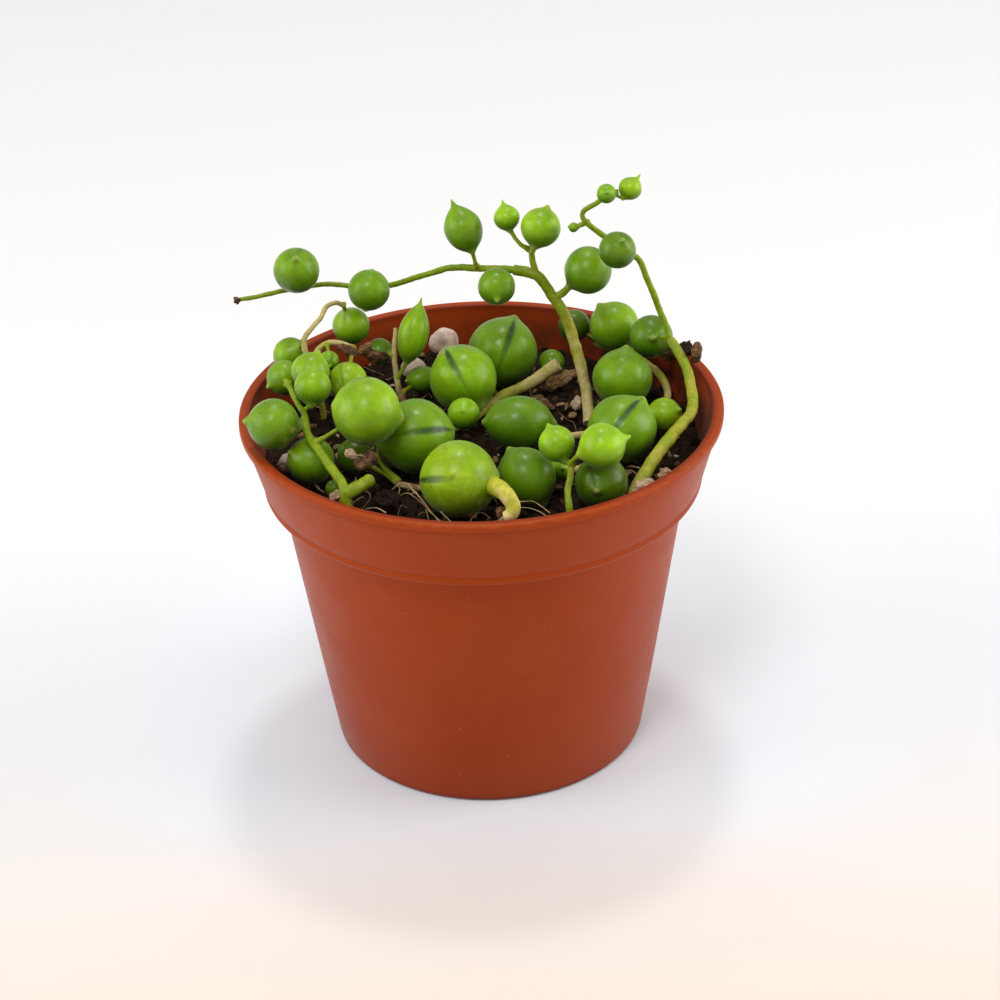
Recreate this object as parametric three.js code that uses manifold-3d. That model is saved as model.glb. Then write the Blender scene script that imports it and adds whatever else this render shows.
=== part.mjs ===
// A small potted string of pearls: a flared nursery pot, its soil, and the strands
// of a trailing succulent whose round leaves hang on short stalks.
// Millimetres, +Z up, origin at the centre of the pot's flat base. The front of
// the plant faces -Y, and its long bare strand reaches over the rim to -X.

import * as THREE from 'three';
import * as BufferGeometryUtils from 'three/addons/utils/BufferGeometryUtils.js';
import Module from 'manifold-3d';

const wasm = await Module();
wasm.setup();

// pot
const potHeight = 46;
const rimRadius = 30;
const lipWidth = 1.4;
const lipHeight = 0.9;
const lipOverhang = 0.6;
const bandHeight = 9.7;
const bandBottomRadius = 27.5;
const bandEdge = 1.1;
const bodyTopRadius = 25.5;
const baseRadius = 20;
const baseCorner = 0.6;
const wall = 1.2;
const floorThickness = 1.6;
const drainHoles = 6;
const drainHoleRadius = 2.2;
const drainCircleRadius = 13.5;
const potSegments = 48;

// soil and what lies on it
const soilHeight = 40.4;
const soilRelief = 0.25;
const gap = 0.35;

// leaves and stems
const leafSides = 10;
const leafRows = 7;
const tipLength = 0.11;
const stemSides = 6;
const stalkRadius = 0.35;

const looks = {
  pot: { color: 0x93431f, roughness: 0.45, metalness: 0 },
  soil: { color: 0x261c16, roughness: 0.95, metalness: 0 },
  leaf: { color: 0x4f8f16, roughness: 0.35, metalness: 0 },
  youngLeaf: { color: 0x78b01e, roughness: 0.35, metalness: 0 },
  stem: { color: 0x8a9a45, roughness: 0.6, metalness: 0 },
  dead: { color: 0x6b4a30, roughness: 0.9, metalness: 0 },
  stone: { color: 0xd9c8c0, roughness: 0.85, metalness: 0 },
};

// Each strand has its runs of stem, and its leaves. A leaf has the place of its
// middle, its width, its length without the tip where it isn't round, the place
// on the stem that its stalk leaves, and the way its tip points where that isn't
// straight away from the stalk.
const strands = [
  {
    name: 'arching',
    runs: [
      {
        radius: 0.62,
        route: [
          [13.5, 3.5, 41.4], [13.5, 7, 43], [12.9, 9, 45.7], [11.8, 11, 50], [10.8, 11.5, 52.7],
          [9.3, 12, 54.9], [7.6, 12.5, 57.5], [4.7, 13.5, 58],
        ],
      },
      {
        radius: 0.42,
        route: [
          [5.2, 13.3, 58], [0, 15, 57.7], [-3.5, 15.5, 57.5], [-7.2, 16, 56.3], [-10.7, 16.5, 55.1],
          [-13.8, 16.5, 54.8], [-19.8, 16.5, 55.3], [-25.4, 15, 55.1], [-30.4, 14, 54.7],
        ],
      },
      { radius: 0.45, route: [[7.6, 12.5, 57.4], [7.1, 12.8, 59.3], [6.9, 13, 61]] },
      { radius: 0.5, route: [[9.6, 12, 54.5], [10.8, 12, 55.3], [11.6, 12, 56.2]] },
    ],
    leaves: [
      { at: [2.4, 11, 56.8], width: 4.7, from: [2.4, 14.2, 57.8] },
      { at: [-1.6, 15, 63.2], width: 4.8, length: 6, tip: [-0.35, 0.4, 0.85], from: [0, 15, 57.8] },
      { at: [-13.7, 13, 56], width: 5.3, tip: [0.2, -0.1, 1], from: [-13.8, 16.5, 54.9] },
      { at: [-22.7, 13.5, 58.8], width: 5.8, from: [-22.9, 16, 55.4] },
      { at: [3.9, 14, 64.9], width: 3.3, tip: [-0.2, 0.4, 0.85], from: [6.9, 13, 60.8] },
      { at: [8.1, 12, 64.3], width: 5, tip: [0.35, 0.4, 0.85], from: [7, 12.9, 60.8] },
      { at: [14, 12, 58.3], width: 6, from: [11.4, 12, 56] },
    ],
  },
  {
    name: 'right',
    runs: [
      {
        radius: 0.4,
        route: [
          [17.2, 8.5, 70.4], [14.7, 9, 68.5], [13.4, 9.5, 67.2], [13.5, 9.5, 66.1],
          [15.4, 9.5, 64.3], [19.9, 9, 61.1], [21.2, 8.5, 58.2], [22.6, 8.5, 54.5], [24.2, 7, 50],
        ],
      },
      {
        radius: 0.75,
        route: [
          [24, 7.2, 50.6], [25.7, 4, 48.3], [26.2, 1, 46.5], [25.8, -3, 45.8], [24.3, -6, 45.4],
          [22.1, -9.5, 44.9], [20, -13.5, 44.2], [18.3, -16.8, 43], [17.3, -18.4, 41.7],
        ],
      },
    ],
    leaves: [
      { at: [17.3, 6, 63.6], width: 4.6, tip: [0.2, -0.6, 0.8], from: [17.6, 9.3, 62.7] },
      { at: [16, 6.5, 70.9], width: 2.4, from: [16, 8.8, 69.5] },
      { at: [19, 8, 70.9], width: 2.9, tip: [0.6, 0.35, 0.7] },
      { at: [21.9, 11.5, 49], width: 5.5, tip: [0, -1, 0.4], from: [23.9, 7.4, 50.8] },
    ],
  },
  {
    name: 'left',
    runs: [
      {
        radius: 0.35,
        route: [[-24, -0.5, 50.6], [-22.7, -3.5, 49.4], [-21.5, -6, 48.8], [-21.2, -8, 48.3]],
      },
      {
        radius: 0.5,
        route: [
          [-21.4, -7, 48.5], [-21, -10, 48], [-19.6, -13, 47.5], [-18.1, -16, 46.5],
          [-16.5, -19, 45.7], [-16.3, -19.9, 44.2], [-15.8, -20, 41.5],
        ],
      },
      { radius: 0.8, route: [[-16.4, -19.6, 44.9], [-14.8, -18.5, 45.2], [-13.4, -17, 45.3]] },
    ],
    leaves: [
      { at: [-20.4, -4, 51.3], width: 4.5, tip: [0.1, 0.6, 0.8] },
      { at: [-20.9, 1.2, 50.7], width: 4.8, tip: [0.5, 0.4, 1] },
      { at: [-25, -9.5, 49.2], width: 6.2, tip: [-1, -0.1, 0.2] },
      { at: [-20.8, -9.8, 44.2], width: 5.8, tip: [-0.8, -0.3, 0.6] },
      { at: [-13.7, -11, 51.3], width: 8.2, tip: [-1, -0.1, 0.3], from: [-20, -12.2, 47.7] },
    ],
  },
  {
    name: 'small_arch',
    runs: [
      {
        radius: 0.35,
        route: [
          [-20, 7, 41.4], [-20.5, 7.5, 45], [-21.5, 8, 48.5], [-22, 9, 51.1], [-20.9, 10, 52.4],
          [-19.8, 11, 53.3], [-19.2, 12, 54.2], [-18.1, 13, 54.4], [-17.2, 13.5, 53.8],
        ],
      },
      { radius: 0.4, route: [[-21.5, 8.1, 48.8], [-19.4, 9, 50.6], [-17.4, 9.5, 50.3], [-15.8, 9.4, 49.7]] },
    ],
    leaves: [
      { at: [-16.3, 14.5, 50.3], width: 4.8, from: [-17.2, 13.5, 53.9] },
      { at: [-24, 11, 48.2], width: 4.5, from: [-22, 9, 51] },
      { at: [-24.6, 6, 47.5], width: 4.5, from: [-21.5, 8, 48.4] },
      { at: [-18.8, 5, 50.2], width: 2.5, from: [-19.2, 9, 50.6] },
      { at: [-16.4, 2, 48.7], width: 4.9, from: [-16, 9.3, 49.7] },
    ],
  },
  {
    name: 'spindle',
    runs: [
      {
        radius: 0.35,
        route: [[-9.5, 8.5, 41.4], [-10.5, 10, 44], [-10.8, 11.5, 47.5], [-10.6, 13, 50.6]],
      },
    ],
    leaves: [
      { at: [-8.3, 12, 50.3], width: 3.9, length: 7.6, tip: [0.25, 0.3, 0.9], from: [-10.6, 10.4, 44.9] },
      { at: [-12.8, 13.2, 47.2], width: 3.4, from: [-10.8, 11.5, 47.4] },
      { at: [-7.5, 12.2, 43.5], width: 3.5, length: 4.4, tip: [-0.8, -0.5, 0.2], from: [-10.2, 9.5, 43] },
    ],
  },
  {
    name: 'middle',
    runs: [
      {
        radius: 0.5,
        route: [[-6, 1.5, 41.4], [-1.5, 4.5, 41.4], [2.6, 9, 42.4], [6.6, 10, 43.8], [10, 10.5, 46]],
      },
    ],
    leaves: [
      { at: [-2.2, 0, 44.8], width: 4, from: [-2, 4.1, 41.4] },
      { at: [-2.2, 7.5, 45.9], width: 8.6, tip: [-0.45, 0.6, 0.65], from: [-1.2, 4.8, 41.5] },
      { at: [3, 15.5, 45.5], width: 9, tip: [0.35, 0.45, 0.8], from: [3.5, 9.3, 42.7] },
      { at: [9.3, 15, 44], width: 3.4, from: [6.6, 10, 43.8] },
    ],
  },
  {
    name: 'front_low',
    runs: [
      {
        radius: 0.45,
        route: [
          [12, -8.5, 41.4], [7.5, -9.5, 41.4], [2.5, -10, 41.4], [-1, -11.5, 41.4],
          [-6, -12.8, 41.4], [-10.5, -11, 41.4],
        ],
      },
    ],
    leaves: [
      { at: [-15.6, -7.5, 43.4], width: 4.4, from: [-10.5, -11, 41.5] },
      { at: [-8, -7, 45.6], width: 9.2, tip: [1, 0.05, 0.1], from: [-10.4, -11, 41.5] },
      { at: [5.1, -15.8, 44.4], width: 6.8, length: 7.4, tip: [-0.5, 0.4, 0.75], from: [3.6, -9.9, 41.5] },
      { at: [9.4, -12, 43.2], width: 2.9, from: [9, -9.2, 41.5] },
      { at: [13.9, -17.5, 44.3], width: 6.4, tip: [-0.2, -0.95, 0.2], from: [12, -8.7, 41.4] },
    ],
  },
  {
    name: 'back',
    runs: [
      {
        radius: 0.5,
        route: [
          [9.5, -0.5, 41.4], [14, 0.3, 41.4], [18.6, 1, 41.5], [22.8, 4.8, 42], [23.6, 9.8, 43],
          [20.8, 15.8, 43.5], [15.2, 21, 43.8],
        ],
      },
    ],
    leaves: [
      { at: [4.6, -3, 44.8], width: 6.8, length: 8.4, tip: [-1, -0.05, 0.1], from: [9.8, -0.6, 41.4] },
      { at: [17.1, -6, 45.2], width: 8.5, tip: [0.6, 0.4, 0.7], from: [14.8, 0.4, 41.4] },
      { at: [17.9, 6.5, 45.7], width: 7.6, tip: [0.15, 0.45, 0.85], from: [18.8, 1.3, 41.5] },
      { at: [22.7, 0, 43.7], width: 4.4, from: [19.5, 1.7, 41.6] },
      { at: [17.5, 17, 48], width: 6.4, from: [20.7, 15.9, 43.5] },
      { at: [12.4, 19.4, 47], width: 4.2, from: [15.5, 20.8, 43.8] },
    ],
  },
  {
    name: 'front_stub',
    runs: [
      {
        radius: 0.85,
        route: [[3, -23, 41.8], [3.1, -22.8, 43.6], [2.8, -21.6, 44.7], [2, -20.2, 45]],
      },
    ],
    leaves: [
      { at: [-3, -18, 45.6], width: 9.2, tip: [-0.95, 0.25, -0.15], from: [2.4, -20.8, 44.9], stalk: 0.6 },
    ],
  },
  {
    name: 'front_shoot',
    runs: [
      {
        radius: 0.38,
        route: [
          [10, -22.5, 41.4], [9.9, -22, 43.5], [9.9, -20.5, 45], [10.2, -19.4, 46.4], [10.4, -18.8, 47.4],
        ],
      },
    ],
    leaves: [
      { at: [8.7, -17, 49.4], width: 4.3, tip: [-0.4, 0.6, 0.8] },
      { at: [14, -19.5, 50.2], width: 5.5, tip: [0.95, 0.1, 0.3], from: [10.4, -18.8, 47.4] },
    ],
  },
];

// Grit and dead leaves are small lumps: the place of each middle, its three
// sizes, its turn about Z in degrees and its tilt.
const lumps = [
  { name: 'stone_back', look: 'stone', at: [-4.8, 24, 43], size: [4, 3.2, 3.6], turn: 20, tilt: 5 },
  { name: 'stone_middle', look: 'stone', at: [-8.6, 18.6, 42.1], size: [3.6, 3, 2.4], turn: -30, tilt: 0 },
  { name: 'stone_left', look: 'stone', at: [-24.1, -6.4, 42], size: [2.8, 2, 2.2], turn: 70, tilt: 0 },
  { name: 'dead_leaf_dark', look: 'dead', at: [-13.3, 9, 49], size: [3.6, 1.7, 1.4], turn: -10, tilt: 12 },
  { name: 'dead_leaf_left', look: 'dead', at: [-14, -14.6, 46.6], size: [2.8, 2, 1.5], turn: 40, tilt: -20 },
  { name: 'dead_leaf_right', look: 'dead', at: [27.2, 5.6, 49.6], size: [3, 1.1, 2.4], turn: 70, tilt: 25 },
];

const part = new THREE.Group();

function addMesh(name, geometry, look) {
  const mesh = new THREE.Mesh(geometry, new THREE.MeshStandardMaterial(looks[look]));
  mesh.name = name;
  part.add(mesh);
  return mesh;
}

// A boolean solid from a closed geometry: shared corners are merged, and the
// triangles that shrink to nothing on a lathe's axis are left out.
function toSolid(geometry) {
  const bare = geometry.clone();
  bare.deleteAttribute('normal');
  bare.deleteAttribute('uv');
  const merged = BufferGeometryUtils.mergeVertices(bare, 1e-4);
  const corners = merged.index.array;
  const kept = [];
  for (let i = 0; i < corners.length; i += 3) {
    const [a, b, c] = [corners[i], corners[i + 1], corners[i + 2]];
    if (a !== b && b !== c && c !== a) kept.push(a, b, c);
  }
  return new wasm.Manifold(new wasm.Mesh({
    numProp: 3,
    vertProperties: new Float32Array(merged.attributes.position.array),
    triVerts: new Uint32Array(kept),
  }));
}

function toGeometry(solid) {
  const mesh = solid.getMesh();
  const geometry = new THREE.BufferGeometry();
  geometry.setAttribute('position', new THREE.BufferAttribute(mesh.vertProperties, 3));
  geometry.setIndex(new THREE.BufferAttribute(mesh.triVerts, 1));
  geometry.computeVertexNormals();
  return geometry;
}

// A lathe turns about Y, and the pot and its soil stand on Z.
function upright(geometry) {
  return geometry.rotateX(Math.PI / 2);
}

// The inner face of the pot: one slope in the body and a wider one in the band.
function innerRadius(z) {
  const shoulder = potHeight - bandHeight;
  const bodyIn = (at) => baseRadius - wall + (bodyTopRadius - baseRadius) * (at / shoulder);
  if (z <= shoulder - wall) return bodyIn(z);
  const low = bodyIn(shoulder - wall);
  const high = rimRadius - lipWidth;
  return low + (high - low) * ((z - shoulder + wall) / (bandHeight + wall));
}

function potProfile() {
  const shoulder = potHeight - bandHeight;
  const lipBottom = potHeight - lipHeight;
  const points = [
    [0, 0],
    [baseRadius - baseCorner, 0],
    [baseRadius, baseCorner],
    [bodyTopRadius, shoulder - 0.1],
    [bandBottomRadius - 0.7 * bandEdge, shoulder + 0.1],
    [bandBottomRadius, shoulder + bandEdge],
    [rimRadius - lipOverhang, lipBottom - 0.3],
    [rimRadius, lipBottom],
    [rimRadius, potHeight - 0.2],
    [rimRadius - 0.2, potHeight],
    [rimRadius - lipWidth + 0.2, potHeight],
    [innerRadius(potHeight - 0.3), potHeight - 0.3],
    [innerRadius(shoulder - wall), shoulder - wall],
    [innerRadius(floorThickness), floorThickness],
    [0, floorThickness],
  ];
  return points.map(([r, z]) => new THREE.Vector2(r, z));
}

function addPot() {
  let pot = toSolid(upright(new THREE.LatheGeometry(potProfile(), potSegments)));
  for (let i = 0; i < drainHoles; i += 1) {
    const angle = (i / drainHoles) * 2 * Math.PI;
    const hole = new THREE.CylinderGeometry(drainHoleRadius, drainHoleRadius, 4 * floorThickness, 16);
    upright(hole);
    hole.translate(drainCircleRadius * Math.cos(angle), drainCircleRadius * Math.sin(angle), 0);
    pot = pot.subtract(toSolid(hole));
  }
  addMesh('pot', toGeometry(pot), 'pot');
}

// The soil fills the pot to its shoulder, and its top rises and falls a little.
function addSoil() {
  const bottom = floorThickness + gap;
  const shoulder = potHeight - bandHeight - wall;
  const rings = [0.97, 0.75, 0.5, 0.25];
  const points = [
    [0, bottom],
    [innerRadius(bottom) - gap, bottom],
    [innerRadius(shoulder) - gap, shoulder],
    [innerRadius(soilHeight - 0.4) - gap, soilHeight - 0.4],
    ...rings.map((share) => [share * innerRadius(soilHeight), soilHeight]),
    [0, soilHeight],
  ];
  const soil = upright(new THREE.LatheGeometry(points.map(([r, z]) => new THREE.Vector2(r, z)), 32));
  const places = soil.attributes.position;
  for (let i = 0; i < places.count; i += 1) {
    const [x, y, z] = [places.getX(i), places.getY(i), places.getZ(i)];
    if (z > soilHeight - 0.01) places.setZ(i, z + soilRelief * Math.sin(0.3 * x) * Math.cos(0.25 * y));
  }
  addMesh('soil', soil, 'soil');
}

function tube(route, radius) {
  const section = new THREE.Shape();
  for (let i = 0; i < stemSides; i += 1) {
    const angle = (i / stemSides) * 2 * Math.PI;
    const [x, y] = [radius * Math.cos(angle), radius * Math.sin(angle)];
    if (i === 0) section.moveTo(x, y);
    else section.lineTo(x, y);
  }
  section.closePath();
  const curve = new THREE.CatmullRomCurve3(route.map((point) => new THREE.Vector3(...point)));
  const steps = Math.max(3, Math.round(curve.getLength() / 1.8));
  return new THREE.ExtrudeGeometry(section, { steps, extrudePath: curve, bevelEnabled: false });
}

function tipOf(leaf) {
  const tip = new THREE.Vector3(...(leaf.tip ?? leaf.at));
  if (!leaf.tip) tip.sub(new THREE.Vector3(...leaf.from));
  return tip.normalize();
}

// A leaf's half length towards a direction: round leaves are the same all over,
// and a long one reaches further near its own axis.
function reachOf(leaf, towards) {
  const tip = tipOf(leaf);
  const along = Math.abs(tip.dot(towards));
  const across = Math.sqrt(Math.max(0, 1 - along * along));
  const halfLength = (leaf.length ?? leaf.width) / 2;
  const halfWidth = leaf.width / 2;
  return 1 / Math.hypot(along / halfLength, across / halfWidth);
}

// A stalk runs from the stem's middle to just short of the leaf.
function stalkOf(leaf) {
  const start = new THREE.Vector3(...leaf.from);
  const towards = new THREE.Vector3(...leaf.at).sub(start);
  const whole = towards.length();
  towards.normalize();
  const length = whole - reachOf(leaf, towards) - gap;
  const end = start.clone().addScaledVector(towards, length);
  const route = [start, start.clone().lerp(end, 0.5), end].map((point) => point.toArray());
  return tube(route, leaf.stalk ?? stalkRadius);
}

function addStem(strand) {
  const pieces = strand.runs.map((run) => tube(run.route, run.radius));
  for (const leaf of strand.leaves) if (leaf.from) pieces.push(stalkOf(leaf));
  const stem = pieces.map(toSolid).reduce((whole, piece) => whole.add(piece));
  addMesh(`stem_${strand.name}`, toGeometry(stem), 'stem');
}

// A leaf is a round lathe with a small point at its outer end.
function leafGeometry(leaf) {
  const halfWidth = leaf.width / 2;
  const halfLength = (leaf.length ?? leaf.width) / 2;
  const points = [];
  for (let row = 0; row < leafRows; row += 1) {
    const angle = (row / leafRows) * Math.PI;
    points.push(new THREE.Vector2(halfWidth * Math.sin(angle), -halfLength * Math.cos(angle)));
  }
  points.push(new THREE.Vector2(0, halfLength * (1 + 2 * tipLength)));
  return new THREE.LatheGeometry(points, leafSides);
}

function addLeaves(strand) {
  const axis = new THREE.Vector3(0, 1, 0);
  strand.leaves.forEach((leaf, i) => {
    const look = leaf.width < 4 ? 'youngLeaf' : 'leaf';
    const mesh = addMesh(`leaf_${strand.name}_${i + 1}`, leafGeometry(leaf), look);
    mesh.position.set(...leaf.at);
    mesh.quaternion.setFromUnitVectors(axis, tipOf(leaf));
  });
}

function addLump(lump) {
  const geometry = new THREE.IcosahedronGeometry(0.5, 1);
  const mesh = addMesh(lump.name, geometry, lump.look);
  mesh.position.set(...lump.at);
  mesh.scale.set(...lump.size);
  mesh.rotation.set(0, THREE.MathUtils.degToRad(lump.tilt), THREE.MathUtils.degToRad(lump.turn));
}

addPot();
addSoil();
for (const strand of strands) {
  addStem(strand);
  addLeaves(strand);
}
lumps.forEach(addLump);

export default part;
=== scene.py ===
import math
import random

import bpy
from mathutils import Matrix, Vector


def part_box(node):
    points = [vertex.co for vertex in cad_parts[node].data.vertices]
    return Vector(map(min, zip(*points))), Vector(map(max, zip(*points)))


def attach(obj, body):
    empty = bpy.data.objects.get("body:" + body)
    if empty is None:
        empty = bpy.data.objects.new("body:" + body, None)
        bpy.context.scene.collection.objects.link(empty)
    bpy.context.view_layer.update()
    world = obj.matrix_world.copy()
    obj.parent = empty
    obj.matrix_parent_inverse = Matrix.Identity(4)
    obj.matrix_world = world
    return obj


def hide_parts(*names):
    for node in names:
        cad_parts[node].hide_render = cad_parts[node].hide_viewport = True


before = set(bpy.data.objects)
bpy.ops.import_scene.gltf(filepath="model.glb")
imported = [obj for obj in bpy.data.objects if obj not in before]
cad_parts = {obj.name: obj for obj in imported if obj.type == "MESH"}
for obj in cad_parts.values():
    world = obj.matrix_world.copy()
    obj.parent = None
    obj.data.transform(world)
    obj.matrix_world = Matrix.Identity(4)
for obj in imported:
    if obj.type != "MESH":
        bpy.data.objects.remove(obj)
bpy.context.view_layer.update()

scene = bpy.context.scene
mm = 0.001
potLow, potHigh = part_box("pot")
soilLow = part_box("soil")[0]
rimRadius = (potHigh.x - potLow.x) / 2
potHeight = potHigh.z
print("frame loaded:", len(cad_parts), "nodes")


cameraSetup = {"place": (0.0, -0.2865, 0.1957), "aim": (0.0020, 0.0, 0.0323), "roll": -1.6, "lens": 93.9}

camera = bpy.data.objects.new("camera", bpy.data.cameras.new("camera"))
camera.data.lens = cameraSetup["lens"]
camera.data.sensor_width = 36
camera.data.clip_start = 0.01
cameraPlace = Vector(cameraSetup["place"])
cameraTurn = (Vector(cameraSetup["aim"]) - cameraPlace).to_track_quat("-Z", "Y").to_matrix().to_4x4()
cameraRoll = Matrix.Rotation(math.radians(cameraSetup["roll"]), 4, "Z")
camera.matrix_world = Matrix.Translation(cameraPlace) @ cameraTurn @ cameraRoll
scene.collection.objects.link(camera)
scene.camera = camera

scene.view_settings.view_transform = "Standard"

lamps = {
    # name: place, aim, size, power, colour
    "overhead": ((0.02, 0.185, 0.62), (0, 0, 0.03), 0.085, 0.67, (1.0, 0.97, 0.92)),
    "window": ((-0.14, -0.42, 0.72), (0, 0, 0.04), 0.24, 1.7, (0.97, 0.99, 1.0)),
    "sky": ((0.0, 0.18, 0.95), (0, 0, 0.0), 0.9, 1.15, (1.0, 0.99, 0.98)),
    "leftCard": ((-0.60, -0.12, 0.28), (0, 0, 0.03), 0.50, 1.8, (1.0, 0.99, 0.97)),
    "rightCard": ((0.62, -0.02, 0.26), (0, 0, 0.03), 0.50, 2.4, (1.0, 0.98, 0.96)),
}

for lampName, (place, aim, size, power, colour) in lamps.items():
    lampData = bpy.data.lights.new(lampName, "AREA")
    lampData.shape = "DISK"
    lampData.size = size
    lampData.energy = power
    lampData.color = colour
    lamp = bpy.data.objects.new(lampName, lampData)
    lamp.location = place
    lamp.rotation_euler = (Vector(aim) - Vector(place)).to_track_quat("-Z", "Y").to_euler()
    scene.collection.objects.link(lamp)

world = bpy.data.worlds.new("paleRoom")
world.use_nodes = True
world.node_tree.nodes["Background"].inputs["Color"].default_value = (0.94, 0.95, 0.97, 1)
world.node_tree.nodes["Background"].inputs["Strength"].default_value = 0.465
scene.world = world


def plug(tree, value, socket):
    if isinstance(value, bpy.types.Node):
        value = value.outputs[0]
    if isinstance(value, bpy.types.NodeSocket):
        tree.links.new(value, socket)
    else:
        socket.default_value = value


def add(tree, kind, inputs=None, **settings):
    made = tree.nodes.new(kind)
    for key, value in settings.items():
        setattr(made, key, value)
    for key, value in (inputs or {}).items():
        plug(tree, value, made.inputs[key])
    return made


def calc(tree, operation, *values):
    made = add(tree, "ShaderNodeMath", operation=operation)
    for slot, value in enumerate(values):
        plug(tree, value, made.inputs[slot])
    return made.outputs[0]


def times(tree, *values):
    product = values[0]
    for value in values[1:]:
        product = calc(tree, "MULTIPLY", product, value)
    return product


def ramp(tree, value, low, high, outLow=0.0, outHigh=1.0):
    made = add(tree, "ShaderNodeMapRange", {0: value, 1: low, 2: high, 3: outLow, 4: outHigh},
               interpolation_type="SMOOTHSTEP")
    return made.outputs[0]


def blendColour(tree, factor, first, second, mode="MIX"):
    made = add(tree, "ShaderNodeMix", data_type="RGBA", blend_type=mode)
    plug(tree, factor, made.inputs[0])
    plug(tree, first, made.inputs[6])
    plug(tree, second, made.inputs[7])
    return made.outputs[2]


def newTree(name, ints=(), floats=(), vectors=()):
    # every tree also takes a geometry and a material
    tree = bpy.data.node_groups.new(name, "GeometryNodeTree")
    wanted = [("Geometry", "Geometry"), ("Material", "Material")]
    for kind, labels in (("Int", ints), ("Float", floats), ("Vector", vectors)):
        wanted += [(label, kind) for label in labels]
    for label, kind in wanted:
        tree.interface.new_socket(label, in_out="INPUT", socket_type="NodeSocket" + kind)
    tree.interface.new_socket("Geometry", in_out="OUTPUT", socket_type="NodeSocketGeometry")
    return tree, tree.nodes.new("NodeGroupInput").outputs


def endTree(tree, geometry, material):
    whole = add(tree, "GeometryNodeRealizeInstances", {0: geometry})
    painted = add(tree, "GeometryNodeSetMaterial", {"Geometry": whole, "Material": material})
    add(tree, "NodeGroupOutput", {0: painted})


def grow(name, tree, values, base=None):
    # the modifier's result becomes a plain mesh object at the origin
    holder = bpy.data.objects.new(name + "Holder", base or bpy.data.meshes.new(name + "Base"))
    scene.collection.objects.link(holder)
    modifier = holder.modifiers.new("shape", "NODES")
    modifier.node_group = tree
    for item in tree.interface.items_tree:
        if item.in_out == "INPUT" and item.name in values:
            modifier[item.identifier] = values[item.name]
    graph = bpy.context.evaluated_depsgraph_get()
    mesh = bpy.data.meshes.new_from_object(holder.evaluated_get(graph))
    bpy.data.objects.remove(holder)
    mesh.name = name
    piece = bpy.data.objects.new(name, mesh)
    scene.collection.objects.link(piece)
    return piece


def store(tree, geometry, name, value, kind="FLOAT", domain="POINT"):
    made = add(tree, "GeometryNodeStoreNamedAttribute", {"Geometry": geometry, "Name": name},
               data_type=kind, domain=domain)
    plug(tree, value, made.inputs["Value"])
    return made.outputs[0]


def noiseField(tree, vector, scale, detail=2.0, rough=0.5, output=0):
    made = add(tree, "ShaderNodeTexNoise", {"Vector": vector, "Scale": scale, "Detail": detail,
                                            "Roughness": rough})
    return made.outputs[output]


def centred(tree, *settings):
    return calc(tree, "SUBTRACT", noiseField(tree, *settings), 0.5)


def xyz(tree, x, y, z):
    return add(tree, "ShaderNodeCombineXYZ", {0: x, 1: y, 2: z}).outputs[0]


def axes(tree, vector):
    return add(tree, "ShaderNodeSeparateXYZ", {0: vector}).outputs


def shift(tree, vector, offset, operation="ADD"):
    return add(tree, "ShaderNodeVectorMath", {0: vector, 1: offset}, operation=operation).outputs[0]


def scaled(tree, vector, factor):
    return add(tree, "ShaderNodeVectorMath", {0: vector, "Scale": factor}, operation="SCALE").outputs[0]


def lengthOf(tree, vector):
    return add(tree, "ShaderNodeVectorMath", {0: vector}, operation="LENGTH").outputs[1]


def wobble(tree, vector, scale, detail, rough, amount):
    # a push in any direction, from the noise's three colours
    noise = noiseField(tree, vector, scale, detail, rough, 1)
    return scaled(tree, shift(tree, noise, (0.5, 0.5, 0.5), "SUBTRACT"), amount)


def field(tree, name):
    return add(tree, "GeometryNodeInput" + name).outputs[0]


def move(tree, geometry, vector, socket="Offset"):
    return add(tree, "GeometryNodeSetPosition", {"Geometry": geometry, socket: vector}).outputs[0]


def wall(tree, columns, rows):
    # a grid whose points are then wrapped round an axis: gives the geometry, and the
    # share of the way round and the row number for every point
    grid = add(tree, "GeometryNodeMeshGrid", {"Vertices X": calc(tree, "ADD", columns, 1),
                                              "Vertices Y": rows})
    index = field(tree, "Index")
    column = calc(tree, "FLOOR", calc(tree, "DIVIDE", calc(tree, "ADD", index, 0.5), rows))
    row = calc(tree, "SUBTRACT", index, times(tree, column, rows))
    return grid.outputs[0], calc(tree, "DIVIDE", column, columns), row


def closed(tree, geometry, reach=1e-6):
    return add(tree, "GeometryNodeMergeByDistance", {"Geometry": geometry, "Distance": reach}).outputs[0]


def smooth(tree, geometry):
    return add(tree, "GeometryNodeSetShadeSmooth", {"Geometry": geometry}).outputs[0]


def newMaterial(name):
    material = bpy.data.materials.new(name)
    material.use_nodes = True
    tree = material.node_tree
    shader = tree.nodes["Principled BSDF"]
    place = add(tree, "ShaderNodeTexCoord").outputs["Object"]
    return material, tree, shader, place


def attribute(tree, name, output="Fac"):
    return add(tree, "ShaderNodeAttribute", attribute_name=name).outputs[output]


def dress(tree, shader, values):
    for name, value in values.items():
        plug(tree, value, shader.inputs[name])


def bump(tree, shader, height, strength, distance):
    made = add(tree, "ShaderNodeBump", {"Height": height, "Strength": strength, "Distance": distance})
    plug(tree, made.outputs[0], shader.inputs["Normal"])


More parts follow.
